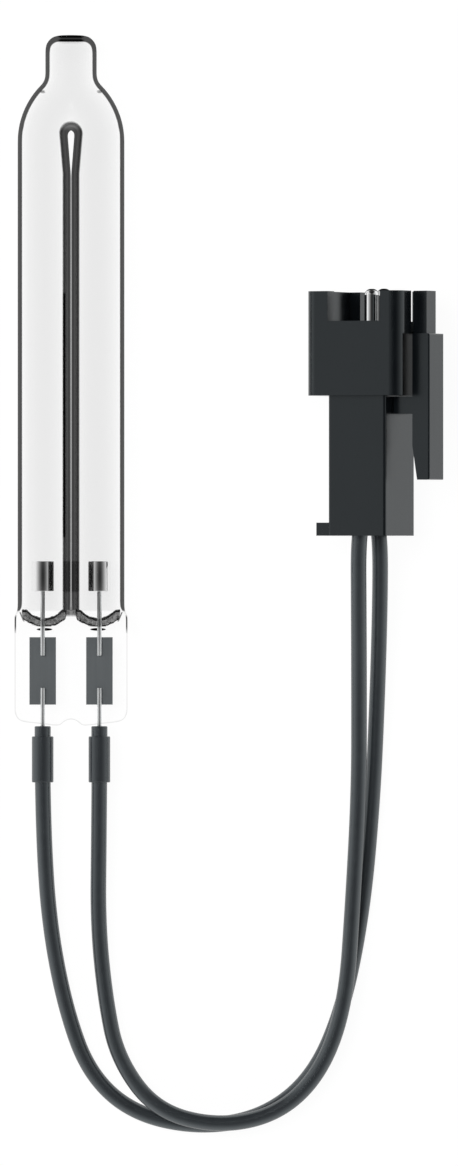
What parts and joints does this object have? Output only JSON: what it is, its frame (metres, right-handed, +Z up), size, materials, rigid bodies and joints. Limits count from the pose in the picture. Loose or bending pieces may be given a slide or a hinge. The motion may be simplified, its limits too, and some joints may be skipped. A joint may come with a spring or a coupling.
{
  "type": "uvc germicidal lamp tube",
  "caption": "Small U-shaped clear quartz discharge lamp with a pinch seal, lying with its two black wires and a latching two-way plug.",
  "frame": {"origin": "on the table under the middle of the lamp, wires and plug left out", "axes": "+Y along the lamp from its wires to its exhaust tip, +Z up from the table it lies on"},
  "size_m": [0.0407, 0.1045, 0.0111],
  "materials": {
    "fused_quartz": "clear, fire polished",
    "nickel": "bright drawn cup",
    "molybdenum_wire": "drawn wire",
    "molybdenum_foil": "dull rolled foil",
    "tinned_contact": "tin plated",
    "black_nylon": "fine moulded",
    "black_sleeve": "satin shrink tube",
    "black_wire": "satin insulation"
  },
  "bodies": {
    "lamp": {"quartz_envelope": "fused_quartz", "connector_housing": "black_nylon", "contact_pin_1": "tinned_contact", "contact_pin_2": "tinned_contact", "electrode_left": "nickel", "inner_lead_left": "molybdenum_wire", "outer_lead_left": "molybdenum_wire", "sealing_foil_left": "molybdenum_foil", "crimp_barrel_left": "tinned_contact", "inner_sleeve_left": "black_sleeve", "shrink_sleeve_left": "black_sleeve", "lead_wire_left": "black_wire", "electrode_right": "nickel", "inner_lead_right": "molybdenum_wire", "outer_lead_right": "molybdenum_wire", "sealing_foil_right": "molybdenum_foil", "crimp_barrel_right": "tinned_contact", "inner_sleeve_right": "black_sleeve", "shrink_sleeve_right": "black_sleeve", "lead_wire_right": "black_wire"},
    "latch": {"latch_lever": "black_nylon"}
  },
  "joints": [
    {"name": "latch_rock", "type": "hinge", "parent": "lamp", "child": "latch", "pos_m": [0.03136, 0.00028, 0.0071], "axis": [0.4756, 0, -0.8796], "range_deg": [0, 5.5], "stiffness_Nm_per_rad": 0.05}
  ]
}
